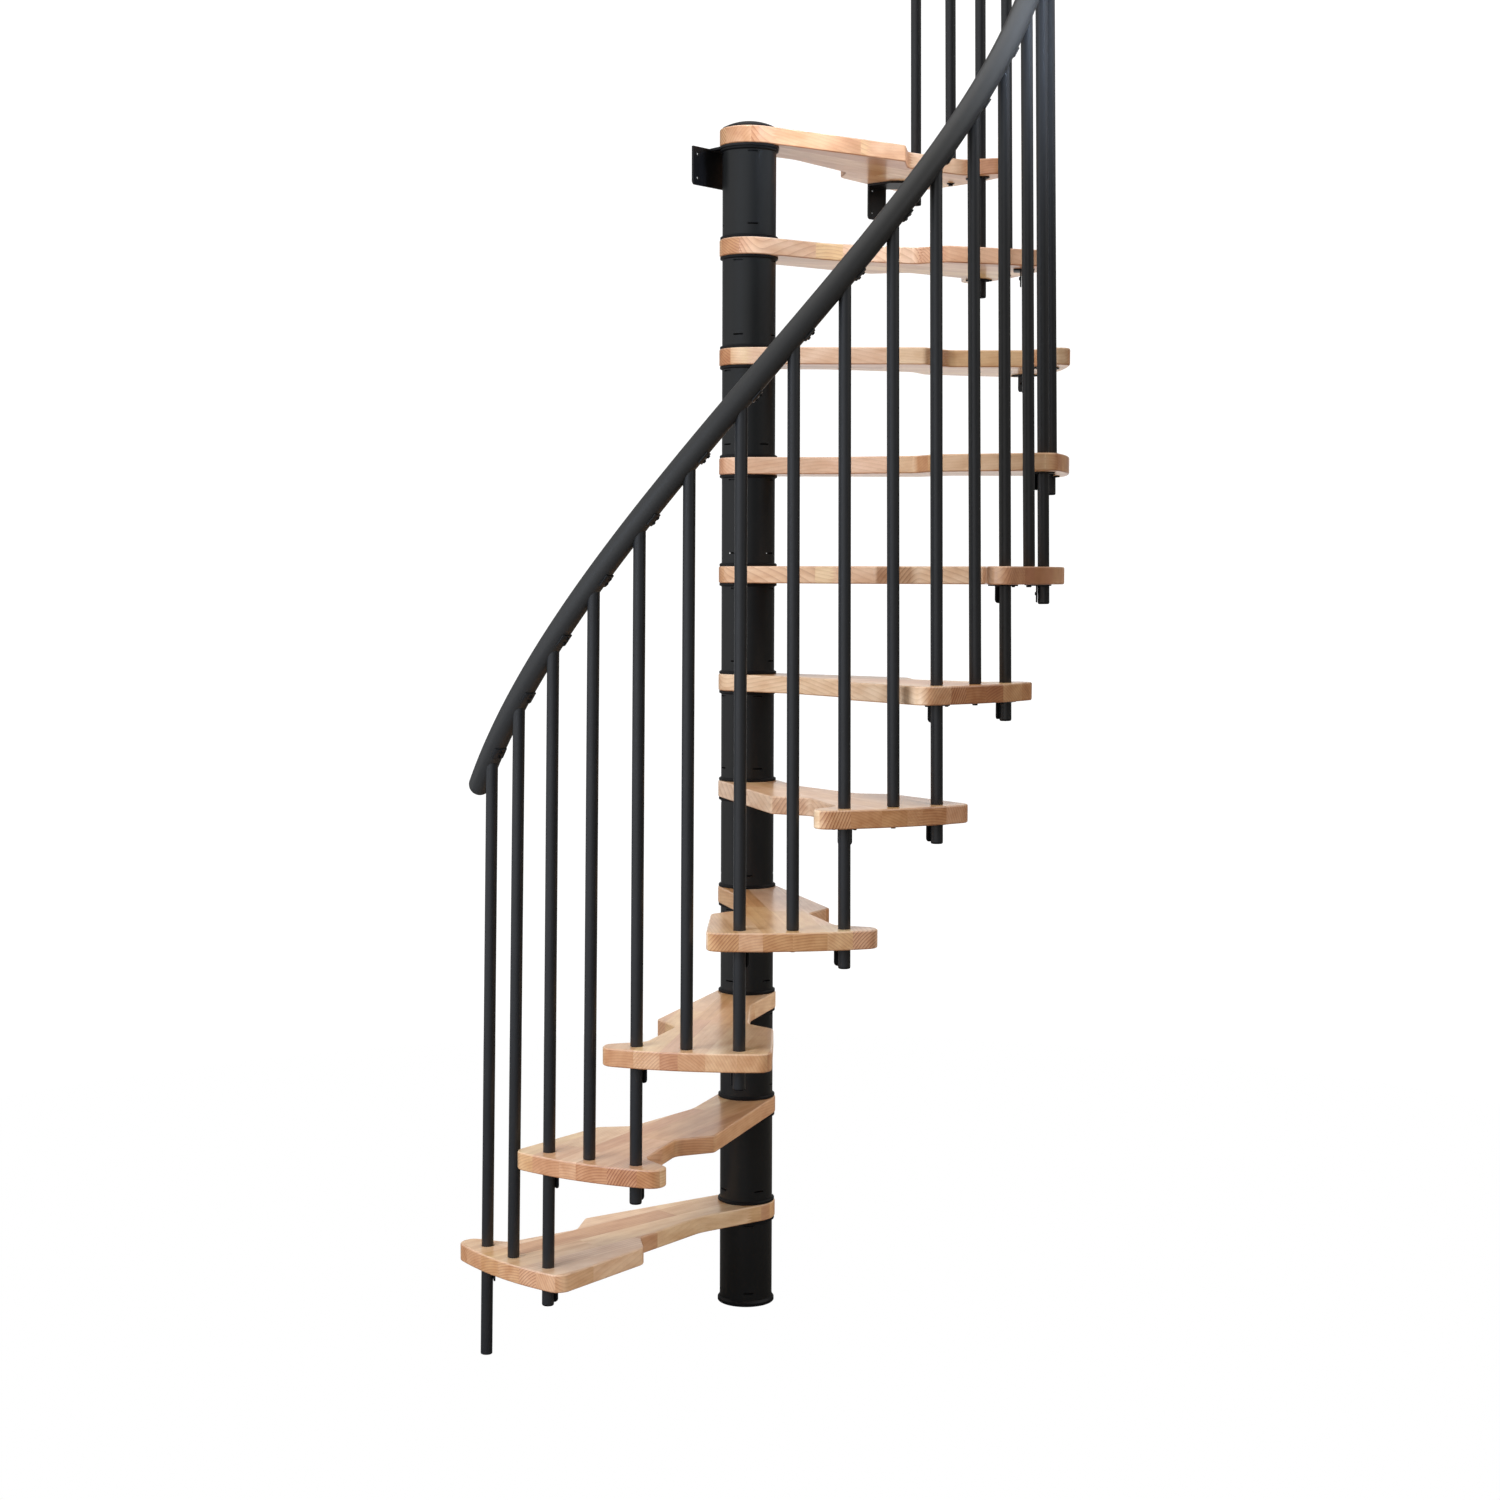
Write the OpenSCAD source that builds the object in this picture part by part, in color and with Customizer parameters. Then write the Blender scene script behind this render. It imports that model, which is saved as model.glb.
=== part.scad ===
// Winding staircase: beech treads stacked on a tubular steel column, round steel
// balusters that tie each tread to the next, and a helical handrail on top of them.
// Millimetres, +Z up. The origin is the centre of the column's foot on the floor.
// Angles are anticlockwise from +X, seen from above, and the flight climbs that way.

/* [Flight] */
// Rise from one tread's top to the next
rise = 230; // [215:1:240]
// Height of the first tread's top above the floor
first_rise = 224; // [205:1:235]
// Radius of the flight at the outer edge of the treads
stair_r = 680; // [665:5:740]
// Compass angle of the first baluster, where the flight begins
start_angle = 214.75; // [200:0.25:230]

/* [Treads] */
// Thickness of a tread
tread_t = 36; // [30:1:42]
// Radius of the round inner end of a tread
hub_r = 63; // [63:1:70]
// How far a wide stretch of a tread reaches past its neighbour's edge
overlap_w = 63; // [50:1:63]
// How far a narrow stretch of a tread's straight edge reaches past the division
narrow_w = 12; // [5:1:20]
// Distance from the column at which the nose's wide stretch ends
nose_r = 372; // [350:1:390]
// How far the outer lug reaches in from the outer edge
lug_depth = 88; // [80:1:110]
// Distance from the column at which the long shoulder begins
shoulder_r = 374; // [350:1:400]
// Distance from the column at which the waist is narrowest
waist_r = 175; // [160:1:200]
// Rounding of a tread's outer corners
corner_r = 28; // [15:1:34]

/* [Column] */
// Outside radius of a column tube
tube_r = 57; // [53:0.5:57.5]
// Wall of a column tube
tube_wall = 3; // [2:0.5:4]
// Thickness of the plastic ring between a tube's end and a tread
ring_t = 6; // [4:0.5:7]
// How far a ring's lip stands out from its tube
ring_lip = 4.5; // [3:0.5:5]
// Width of a locking slot in a tube
slot_w = 22; // [16:1:26]
// Height of a locking slot
slot_h = 3; // [2:0.5:4]
// Height of a lower slot's middle above the tread
low_slot_z = 28; // [24:1:35]
// Depth of an upper slot's middle below the tread
top_slot_z = 11; // [11:0.5:20]
// Height of the domed cap on the column
cap_h = 17; // [12:1:25]

/* [Floor plate] */
// Thickness of the floor plate under the column
plate_t = 8; // [6:0.5:12]
// Radius of the circle of floor anchor holes
anchor_ring_r = 36; // [30:1:40]
// Radius of a floor anchor hole
anchor_hole_r = 5.5; // [4:0.5:6]

/* [Balusters] */
// Distance of the balusters' feet from the outer edge of the treads
baluster_inset = 37; // [34:1:44]
// Radius of a baluster
baluster_r = 12; // [10:0.5:13]
// Wall of a baluster's tube
baluster_wall = 1.5; // [1:0.5:2]
// How far a tie baluster reaches below its lower tread
stub_len = 40.5; // [36:0.5:60]
// Play round a baluster in its tread hole
hole_play = 0.3; // [0.2:0.1:0.6]

/* [Handrail] */
// Radius of the handrail
rail_r = 22.5; // [20:0.5:24]
// How far the handrail lies towards the column from the balusters' feet
rail_inset = 20; // [12:1:28]
// Height of the handrail's middle above the floor at the first baluster
rail_h = 1228; // [1100:1:1300]
// Angle that the handrail runs on past its first and last balusters
rail_overhang = 5.3; // [4:0.1:7]
// Thickness of the saddle under the handrail at a baluster
saddle_t = 3; // [2:0.5:4]
// Length of a saddle up the handrail from its baluster
saddle_len = 26; // [20:1:40]

/* [Clamps] */
// Sheet thickness of the clamps under the treads
clamp_t = 3; // [2:0.5:4]
// Width of a clamp's flange, which carries one screw on either side of the baluster
clamp_flange_w = 48; // [40:1:54]
// Width of a clamp's tab
clamp_w = 28; // [20:1:32]
// Drop of a clamp's tab beside its baluster
clamp_drop = 37; // [28:1:40]
// Reach of a clamp's flange past its baluster's axis, on the tab's side
clamp_reach = 30; // [24:1:34]

/* [Landing brackets] */
// Compass direction of the floor edge that the brackets are screwed to
edge_angle = 50; // [45:1:55]
// Distance of that edge from the column's axis
edge_dist = 82; // [76:1:90]
// Sheet thickness of the landing brackets
bracket_t = 5; // [4:0.5:6]
// Drop of a bracket's screw plate
plate_drop = 80; // [70:1:95]
// Length of the column bracket's screw plate to either side
plate_half = 92; // [80:1:100]
// Length of the outer bracket's screw plate
outer_plate_l = 66; // [50:1:80]
// Distance from the outer bracket's plate to the last baluster, along the edge
outer_plate_gap = 54; // [45:1:70]
// Radius of a screw hole
screw_hole_r = 3.5; // [2.5:0.5:4.5]
// Distance of a screw hole from the plate's end and from its top and bottom
screw_inset = 15; // [12:1:20]

/* [Hidden] */
treads = 11;
treads_per_turn = 20;
step_angle = 360 / treads_per_turn;
half_step = step_angle / 2;
balusters = 2 * treads + 1;

// Number as two digits
function two(n) = str(n < 10 ? "0" : "", n);
function tread_name(k) = str("tread_", two(k));
function tube_name(k) = str("column_tube_", two(k));
function tie_name(k) = str("tie_baluster_", two(k));

wood = "#D9B48F";
steel = "#2E2E30";
black = "#1C1C1D";

// Turn of each tube's slots about the column, as the tubes happened to be fitted
tube_turns = [277, 300, 255, 230, 270, 293, 242, 234, 307, 246, 278];

tube_bore_r = tube_r - tube_wall;
ring_bore_r = tube_bore_r - 6;
ring_spigot_h = 12;
ring_skirt_h = 1;
plate_skirt_h = 4;
ring_skirt_t = 0.8;
ring_gap = 0.2;
ring_bevel = 1;
cap_rim_h = 3;
slots_round = 4;
slot_cut = 20;

nose_slope = 58;
lug_slope = 45;
shoulder_slope = 50;
nose_round = 14;
bend_round = 30;
shoulder_round = 25;
waist_round = 120;
arc_steps = 6;

baluster_plug_t = 4;
baluster_chamfer = 1.5;
rail_gap = 0.3;
saddle_half_angle = 32;
saddle_start = 6;
clamp_gap = 0.3;
clamp_round = 8;
clamp_back = 16;
front_clamp_turn = 147;
back_clamp_turn = 200;

flange_lip = 6;
web_half = 40;
plate_round = 8;
flange_round = 10;

// Distance from the column at which the outer lug begins
lug_r = stair_r - lug_depth;
// Circles that the balusters' feet and the handrail follow
baluster_ring_r = stair_r - baluster_inset;
rail_ring_r = baluster_ring_r - rail_inset;
// Slope of the handrail
rail_slope = atan(rise / (rail_ring_r * step_angle * PI / 180));

// Top of tread k above the floor; tread 0 is the floor
function tread_top(k) = k == 0 ? 0 : first_rise + (k - 1) * rise;
function tread_axis(k) = start_angle + (k - 0.5) * step_angle;
function baluster_angle(i) = start_angle + (i - 1) * half_step;
// Lower tread of baluster i: odd ones tie two treads, even ones stand on one
function baluster_tread(i) = floor(i / 2);
function baluster_foot_z(i) = tread_top(baluster_tread(i));
function rail_z(angle) = rail_h + rise * (angle - start_angle) / step_angle;
function baluster_rise(i) = rail_z(baluster_angle(i)) - baluster_foot_z(i);
// Lean of baluster i towards the column, from its foot to the rail
function baluster_lean(i) = atan((baluster_ring_r - rail_ring_r) / baluster_rise(i));
function baluster_len(i) = baluster_rise(i) / cos(baluster_lean(i));

// ---------------------------------------------------------------- outlines

function unit(v) = v / norm(v);
// Point at a distance along a tread's division, and off it to the outside;
// side is -1 on the climbing side of the tread and +1 on the other
function beside(side, along, off) = [
    along * cos(half_step) - off * sin(half_step),
    side * (along * sin(half_step) + off * cos(half_step))];

// Arc that replaces the corner at b, between its neighbours a and c
function corner_arc(a, b, c, r) =
    let (u = unit(a - b), v = unit(c - b),
         half = acos(max(-1, min(1, u * v))) / 2,
         reach = r / tan(half),
         centre = b + unit(u + v) * r / sin(half),
         p = b + u * reach - centre,
         q = b + v * reach - centre,
         from = atan2(p.y, p.x),
         turn = (atan2(q.y, q.x) - from + 540) % 360 - 180)
    [for (s = [0 : arc_steps]) centre + r * [cos(from + turn * s / arc_steps),
                                             sin(from + turn * s / arc_steps)]];

// Rounds every inner point of a path of [point, radius] pairs
function rounded_path(path) = [
    for (n = [0 : len(path) - 1])
        each (n == 0 || n == len(path) - 1 || path[n][1] == 0)
            ? [path[n][0]]
            : corner_arc(path[n - 1][0], path[n][0], path[n + 1][0], path[n][1])];

// Middle of the rounded outer corner, along and off the division
corner_off = overlap_w - corner_r;
corner_along = sqrt(pow(stair_r - corner_r, 2) - pow(corner_off, 2));
corner_turn = atan2(corner_off, corner_along);

// Rounded outer corner, from the straight side to the outer edge
function outer_corner(side) = [
    for (s = [0 : arc_steps])
        let (a = 90 + (corner_turn - 90) * s / arc_steps)
        beside(side, corner_along + corner_r * cos(a), corner_off + corner_r * sin(a))];

// Rounding where the lug's slope meets its straight end, as far as there is room
lug_turn = atan2(overlap_w, lug_slope);
lug_round = min(bend_round,
                0.8 * (corner_along - lug_r - lug_slope) / tan(lug_turn / 2));

// Turn from the division to where a line from the waist touches the hub
waist_angle = atan2(narrow_w, waist_r) + acos(hub_r / norm([waist_r, narrow_w]));
// The same for the wide edge, which touches the hub or runs into it
wide_angle = asin(min(1, overlap_w / hub_r));

// Straight edge that is wide at the hub and at the outer lug, and narrow between
function notched_side(side) = concat(
    rounded_path([
        [beside(side, hub_r * cos(wide_angle), hub_r * sin(wide_angle)), 0],
        [beside(side, nose_r, overlap_w), nose_round],
        [beside(side, nose_r + nose_slope, 0), bend_round],
        [beside(side, lug_r, 0), bend_round],
        [beside(side, lug_r + lug_slope, overlap_w), lug_round],
        [beside(side, corner_along, overlap_w), 0]]),
    outer_corner(side));

// Straight edge that is narrow from the hub's waist to the shoulder, then wide
function shouldered_side(side) = concat(
    rounded_path([
        [beside(side, hub_r * cos(waist_angle), hub_r * sin(waist_angle)), 0],
        [beside(side, waist_r, narrow_w), waist_round],
        [beside(side, shoulder_r, narrow_w), shoulder_round],
        [beside(side, shoulder_r + shoulder_slope, overlap_w), shoulder_round],
        [beside(side, corner_along, overlap_w), 0]]),
    outer_corner(side));

function reversed(list) = [for (n = [len(list) - 1 : -1 : 0]) list[n]];

// Outer edge between the two rounded corners
outer_half = half_step + corner_turn;
outer_steps = 12;
outer_edge = [
    for (s = [1 : outer_steps - 1])
        let (a = -outer_half + 2 * outer_half * s / outer_steps)
        stair_r * [cos(a), sin(a)]];

// Round inner end, from the shouldered side back to the notched one
hub_from = half_step + waist_angle;
hub_to = 360 - half_step - wide_angle;
hub_steps = 36;
hub_arc = [
    for (s = [1 : hub_steps - 1])
        let (a = hub_from + (hub_to - hub_from) * s / hub_steps)
        hub_r * [cos(a), sin(a)]];

// Outline of an odd tread; an even tread is its mirror image
tread_outline = concat(notched_side(-1), outer_edge, reversed(shouldered_side(1)), hub_arc);

// ---------------------------------------------------------------- placing

// Places children on tread k, with X along the tread and Z at its underside
module at_tread(k) {
    translate([0, 0, tread_top(k) - tread_t])
        rotate([0, 0, tread_axis(k)])
            children();
}

// Places children on baluster i's axis, with Z up the baluster from its foot
module at_baluster(i) {
    rotate([0, 0, baluster_angle(i)])
        translate([baluster_ring_r, 0, baluster_foot_z(i)])
            rotate([0, -baluster_lean(i), 0])
                children();
}

// Places children on the handrail's axis, with Z along the rail uphill
module at_rail(angle) {
    rotate([0, 0, angle])
        translate([rail_ring_r, 0, rail_z(angle)])
            rotate([rail_slope - 90, 0, 0])
                children();
}

// Places children at the landing edge: X along it, Y towards the floor,
// Z at the top tread's underside
module at_landing() {
    translate([0, 0, tread_top(treads) - tread_t])
        rotate([0, 0, edge_angle])
            children();
}

// ---------------------------------------------------------------- column

// Ring that seats a tube: a lip outside, a skirt round the tube and a spigot in it
module ring(seat_t, skirt_h) {
    rotate_extrude($fn = 96)
        polygon([
            [ring_bore_r, 0],
            [tube_r + ring_lip - ring_bevel, 0],
            [tube_r + ring_lip, ring_bevel],
            [tube_r + ring_lip, seat_t - ring_bevel],
            [tube_r + ring_gap + ring_skirt_t, seat_t + skirt_h],
            [tube_r + ring_gap, seat_t + skirt_h],
            [tube_r + ring_gap, seat_t],
            [tube_bore_r - ring_gap, seat_t],
            [tube_bore_r - ring_gap, seat_t + ring_spigot_h],
            [ring_bore_r, seat_t + ring_spigot_h]]);
}

// Height of the solid thing on which tube k's upper ring is held from above
function tube_head(k) = tread_top(k) - tread_t - (k == treads ? bracket_t : 0);

module column_tube(k) {
    foot = tread_top(k - 1) + (k == 1 ? plate_t : ring_t);
    head = tube_head(k) - ring_t;
    color(steel) difference() {
        translate([0, 0, foot]) cylinder(h = head - foot, r = tube_r, $fn = 96);
        translate([0, 0, foot - 1]) cylinder(h = head - foot + 2, r = tube_bore_r, $fn = 96);
        for (z = [tread_top(k - 1) + low_slot_z, tube_head(k) - top_slot_z], n = [1 : slots_round])
            rotate([0, 0, tube_turns[k - 1] + n * 360 / slots_round])
                translate([tube_r, 0, z]) cube([slot_cut, slot_w, slot_h], center = true);
    }
}

module base_plate() {
    color(black) difference() {
        union() {
            ring(plate_t, plate_skirt_h);
            cylinder(h = plate_t, r = tube_bore_r - ring_gap, $fn = 96);
        }
        for (n = [0 : 3])
            rotate([0, 0, 45 + n * 90])
                translate([anchor_ring_r, 0, -1])
                    cylinder(h = plate_t + 2, r = anchor_hole_r, $fn = 32);
    }
}

module column_rings() {
    color(black) {
        for (k = [1 : treads - 1])
            translate([0, 0, tread_top(k)]) ring(ring_t, ring_skirt_h);
        for (k = [1 : treads])
            translate([0, 0, tube_head(k)]) mirror([0, 0, 1]) ring(ring_t, ring_skirt_h);
    }
}

module column_cap() {
    dome_r = (tube_r * tube_r + pow(cap_h - cap_rim_h, 2)) / (2 * (cap_h - cap_rim_h));
    color(black) intersection() {
        translate([0, 0, tread_top(treads)]) cylinder(h = cap_h + 1, r = tube_r, $fn = 96);
        translate([0, 0, tread_top(treads) + cap_h - dome_r]) sphere(r = dome_r, $fn = 128);
    }
}

// ---------------------------------------------------------------- treads

module baluster_hole(i) {
    at_baluster(i)
        translate([0, 0, -2 * rise])
            cylinder(h = 4 * rise, r = baluster_r + hole_play, $fn = 48);
}

module tread(k) {
    color(wood) difference() {
        at_tread(k)
            mirror([0, k % 2 == 0 ? 1 : 0, 0])
                linear_extrude(height = tread_t) polygon(tread_outline);
        baluster_hole(2 * k - 1);
        baluster_hole(2 * k + 1);
    }
}

// ---------------------------------------------------------------- balusters

// Baluster i, reaching below its foot by a given length
module baluster(i, below) {
    bottom = -below;
    color(steel) difference() {
        at_baluster(i) {
            translate([0, 0, bottom])
                cylinder(h = baluster_chamfer, r1 = baluster_r - baluster_chamfer,
                         r2 = baluster_r, $fn = 48);
            translate([0, 0, bottom + baluster_chamfer])
                cylinder(h = baluster_len(i) - bottom - baluster_chamfer, r = baluster_r, $fn = 48);
        }
        at_baluster(i)
            translate([0, 0, bottom + baluster_plug_t])
                cylinder(h = baluster_len(i) - bottom, r = baluster_r - baluster_wall, $fn = 48);
        at_rail(baluster_angle(i))
            cylinder(h = 6 * rail_r, r = rail_r + rail_gap, center = true, $fn = 64);
        // Level cut at the foot of a baluster that stands on something
        if (below == 0)
            rotate([0, 0, baluster_angle(i)])
                translate([baluster_ring_r, 0, baluster_foot_z(i) - 5])
                    cube([8 * baluster_r, 8 * baluster_r, 10], center = true);
    }
}

module tie_baluster(n) {
    baluster(2 * n - 1, n == 1 ? 0 : tread_t + stub_len);
}

module mid_balusters() {
    for (k = [1 : treads]) baluster(2 * k, 0);
}

// Outline of a clamp's flange, with the baluster's hole
module clamp_flange() {
    difference() {
        translate([-clamp_back + clamp_round, -clamp_flange_w / 2 + clamp_round])
            offset(r = clamp_round, $fn = 32)
                square([clamp_back + clamp_reach - 2 * clamp_round,
                        clamp_flange_w - 2 * clamp_round]);
        circle(r = baluster_r + 2 * clamp_gap, $fn = 48);
    }
}

// Sheet clamp under tread k round baluster i; its tab hangs on the side that
// the given turn, measured from the tread's axis, points to
module clamp(k, i, turn) {
    tab = baluster_r + clamp_gap;
    lean = baluster_ring_r - (tread_top(k) - tread_t - baluster_foot_z(i)) * tan(baluster_lean(i));
    at_tread(k)
        rotate([0, 0, baluster_angle(i) - tread_axis(k)])
            translate([lean, 0, 0])
                rotate([0, 0, turn - baluster_angle(i) + tread_axis(k)]) {
                    translate([0, 0, -clamp_t])
                        linear_extrude(height = clamp_t) clamp_flange();
                    translate([tab + clamp_t, 0, -clamp_drop + clamp_round])
                        rotate([0, -90, 0])
                            linear_extrude(height = clamp_t) {
                                translate([0, -clamp_w / 2])
                                    square([clamp_drop - clamp_round, clamp_w]);
                                translate([-clamp_round, clamp_round - clamp_w / 2])
                                    square([clamp_round, clamp_w - 2 * clamp_round]);
                                for (y = [-1, 1])
                                    translate([0, y * (clamp_w / 2 - clamp_round)])
                                        circle(r = clamp_round, $fn = 32);
                            }
                }
}

module baluster_clamps() {
    color(black) {
        for (k = [1 : treads]) clamp(k, 2 * k - 1, front_clamp_turn);
        for (k = [1 : treads - 1]) clamp(k, 2 * k + 1, back_clamp_turn);
    }
}

// ---------------------------------------------------------------- handrail

// Curved plate under the rail, uphill of baluster i, that holds the rail to it
module saddle(i) {
    angle = baluster_angle(i);
    inner = rail_r + rail_gap;
    color(black) difference() {
        at_rail(angle) intersection() {
            translate([0, 0, saddle_start]) difference() {
                cylinder(h = saddle_len, r = inner + saddle_t, $fn = 64);
                translate([0, 0, -1]) cylinder(h = saddle_len + 2, r = inner, $fn = 64);
            }
            translate([0, 0, saddle_start])
                linear_extrude(height = saddle_len)
                    polygon([[0, 0],
                             3 * rail_r * [sin(saddle_half_angle), cos(saddle_half_angle)],
                             3 * rail_r * [-sin(saddle_half_angle), cos(saddle_half_angle)]]);
        }
        at_baluster(i)
            cylinder(h = 2 * baluster_len(i), r = baluster_r + clamp_gap, $fn = 48);
    }
}

module rail_saddles() {
    for (i = [1 : balusters]) saddle(i);
}

rail_sides = 20;
rail_rings = 90;
rail_from = start_angle - rail_overhang;
rail_to = baluster_angle(balusters) + rail_overhang;

// Point of the rail's skin, at an angle round the column and one round the rail
function rail_point(angle, turn) =
    let (out = [cos(angle), sin(angle), 0],
         up = [sin(angle) * sin(rail_slope), -cos(angle) * sin(rail_slope), cos(rail_slope)])
    [rail_ring_r * out.x, rail_ring_r * out.y, rail_z(angle)]
        + rail_r * (cos(turn) * out + sin(turn) * up);

module handrail() {
    skin = [
        for (n = [0 : rail_rings], s = [0 : rail_sides - 1])
            rail_point(rail_from + (rail_to - rail_from) * n / rail_rings, 360 * s / rail_sides)];
    walls = [
        for (n = [0 : rail_rings - 1], s = [0 : rail_sides - 1])
            let (a = n * rail_sides, b = a + rail_sides, t = (s + 1) % rail_sides)
            each [[a + s, b + t, b + s], [a + s, a + t, b + t]]];
    near = [[for (s = [0 : rail_sides - 1]) rail_sides - 1 - s]];
    far = [[for (s = [0 : rail_sides - 1]) rail_rings * rail_sides + s]];
    color(steel) polyhedron(points = skin, faces = concat(walls, near, far), convexity = 4);
}

// Rounded plug in one end of the rail; way is -1 at the lower end, 1 at the upper
module rail_end(angle, way) {
    at_rail(angle) intersection() {
        sphere(r = rail_r, $fn = 64);
        translate([-2 * rail_r, -2 * rail_r, way > 0 ? 0 : -4 * rail_r])
            cube([4 * rail_r, 4 * rail_r, 4 * rail_r]);
    }
}

module handrail_ends() {
    color(black) {
        rail_end(rail_from, -1);
        rail_end(rail_to, 1);
    }
}

// ---------------------------------------------------------------- landing brackets

// Screw plate on the landing edge with rounded lower corners, and with one hole
// above another at each distance in holes_at
module screw_plate(from, length, holes_at) {
    difference() {
        translate([from, edge_dist - bracket_t, 0]) rotate([-90, 0, 0])
            linear_extrude(height = bracket_t) {
                square([length, plate_drop - plate_round]);
                translate([plate_round, 0]) square([length - 2 * plate_round, plate_drop]);
                for (x = [plate_round, length - plate_round])
                    translate([x, plate_drop - plate_round]) circle(r = plate_round, $fn = 32);
            }
        for (x = holes_at, z = [-screw_inset, screw_inset - plate_drop])
            translate([x, edge_dist - bracket_t - 1, z])
                rotate([-90, 0, 0]) cylinder(h = bracket_t + 2, r = screw_hole_r, $fn = 32);
    }
}

// Flange round the column, with a web that runs from it to the plate
module column_flange() {
    difference() {
        union() {
            cylinder(h = bracket_t, r = tube_r + flange_lip, $fn = 96);
            linear_extrude(height = bracket_t)
                polygon([[-tube_r, 0], [tube_r, 0], [web_half, edge_dist], [-web_half, edge_dist]]);
        }
        translate([0, 0, -1]) cylinder(h = bracket_t + 2, r = ring_bore_r, $fn = 96);
    }
}

module column_bracket() {
    color(black) at_landing() {
        screw_plate(-plate_half, 2 * plate_half, [screw_inset - plate_half, plate_half - screw_inset]);
        translate([0, 0, -bracket_t]) column_flange();
    }
}

// The last baluster, in the frame of the landing edge
last_baluster = baluster_ring_r * [cos(baluster_angle(balusters) - edge_angle),
                                   sin(baluster_angle(balusters) - edge_angle)];
outer_plate_far = last_baluster.x - outer_plate_gap;
outer_plate_near = outer_plate_far - outer_plate_l;
// Outline of the flange that passes inside the last baluster and ends beyond it
outer_flange = rounded_path([
    [[outer_plate_far, edge_dist], 0],
    [last_baluster + [-27, 9], 20],
    [last_baluster + [2, -31], flange_round],
    [last_baluster + [-20, -55], flange_round],
    [last_baluster + [-102, -39], flange_round],
    [[outer_plate_near, last_baluster.y - 17], flange_round],
    [[outer_plate_near, edge_dist], 0]]);

module outer_bracket() {
    color(black) at_landing() {
        screw_plate(outer_plate_near, outer_plate_l, [outer_plate_near + screw_inset]);
        translate([0, 0, -bracket_t])
            linear_extrude(height = bracket_t) polygon(outer_flange);
    }
}

// ---------------------------------------------------------------- drawing

base_plate();
for (k = [1 : treads]) column_tube(k);
column_rings();
for (k = [1 : treads]) tread(k);
column_cap();
for (n = [1 : treads + 1]) tie_baluster(n);
mid_balusters();
baluster_clamps();
rail_saddles();
handrail();
handrail_ends();
column_bracket();
outer_bracket();
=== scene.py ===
"""Dresses a winding staircase: beech treads on a steel column, balusters and a helical handrail.

Metres, +Z up. The origin is the centre of the column's foot on the floor, and angles are
anticlockwise from +X, seen from above.
"""

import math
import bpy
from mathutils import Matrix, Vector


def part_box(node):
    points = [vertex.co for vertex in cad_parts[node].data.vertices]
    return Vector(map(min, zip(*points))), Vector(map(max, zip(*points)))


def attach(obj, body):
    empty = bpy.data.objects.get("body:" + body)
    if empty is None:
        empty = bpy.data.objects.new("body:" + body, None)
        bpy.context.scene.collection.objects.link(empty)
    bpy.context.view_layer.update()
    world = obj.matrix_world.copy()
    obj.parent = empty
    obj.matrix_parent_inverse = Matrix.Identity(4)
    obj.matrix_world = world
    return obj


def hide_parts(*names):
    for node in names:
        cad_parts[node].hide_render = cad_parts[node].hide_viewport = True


bl_info = {
    "name": "Winding Staircase",
    "version": (1, 0, 0),
    "blender": (4, 5, 0),
    "location": "View3D > Sidebar > Staircase",
    "description": "Finishes the treads, column, balusters and handrail of a winding staircase",
    "category": "Add Mesh",
}

import bmesh
import bpy
from bpy.props import FloatProperty, FloatVectorProperty, PointerProperty
from mathutils import Matrix, Vector

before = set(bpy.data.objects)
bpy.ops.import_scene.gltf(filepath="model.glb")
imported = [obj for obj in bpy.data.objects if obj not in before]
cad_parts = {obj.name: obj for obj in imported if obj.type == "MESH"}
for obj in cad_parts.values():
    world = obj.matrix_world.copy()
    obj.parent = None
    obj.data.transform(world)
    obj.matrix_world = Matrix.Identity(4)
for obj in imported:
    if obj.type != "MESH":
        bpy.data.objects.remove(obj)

MM = 0.001
BODY = "root"


# ---------------------------------------------------------------- the flight, from the frame


def heading(node):
    """Compass angle of the middle of a CAD node."""
    low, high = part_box(node)
    return math.atan2(low.y + high.y, low.x + high.x)


def top_of(node):
    """Height of the top of a CAD node."""
    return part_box(node)[1].z


TREADS = sum(name.startswith("tread_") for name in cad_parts)
BALUSTERS = 2 * TREADS + 1
START = heading("tie_baluster_01")
STEP = (heading("tie_baluster_02") - START) % math.tau
RISE = top_of("tread_02") - top_of("tread_01")
TREAD_THICK = top_of("tread_01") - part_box("tread_01")[0].z


def tread_top(number):
    """Height of a tread's top; tread 0 is the floor."""
    return top_of(f"tread_{number:02d}") if number else 0.0


def tread_heading(number):
    """Compass angle of a tread's middle line."""
    return START + (number - 0.5) * STEP


def baluster_heading(number):
    """Compass angle of a baluster; there are two to a tread."""
    return START + (number - 1) * STEP / 2


# ---------------------------------------------------------------- colours and settings


def linear(hex_colour):
    """Linear red, green and blue of an sRGB hex colour."""
    channels = [int(hex_colour[n:n + 2], 16) / 255 for n in (1, 3, 5)]
    return [c / 12.92 if c <= 0.04045 else ((c + 0.055) / 1.055) ** 2.4 for c in channels]


def length(name, description, millimetres):
    """A length property, given in millimetres and kept in metres."""
    return FloatProperty(name=name, description=description, default=millimetres * MM,
                         min=0.0, unit="LENGTH", subtype="DISTANCE")


def angle(name, description, degrees):
    """An angle property, given in degrees."""
    return FloatProperty(name=name, description=description, default=math.radians(degrees),
                         unit="ROTATION", subtype="ANGLE")


def colour(name, description, hex_colour):
    """A colour property, given as an sRGB hex colour."""
    return FloatVectorProperty(name=name, description=description, subtype="COLOR", size=3,
                               default=linear(hex_colour), min=0.0, max=1.0)


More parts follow.
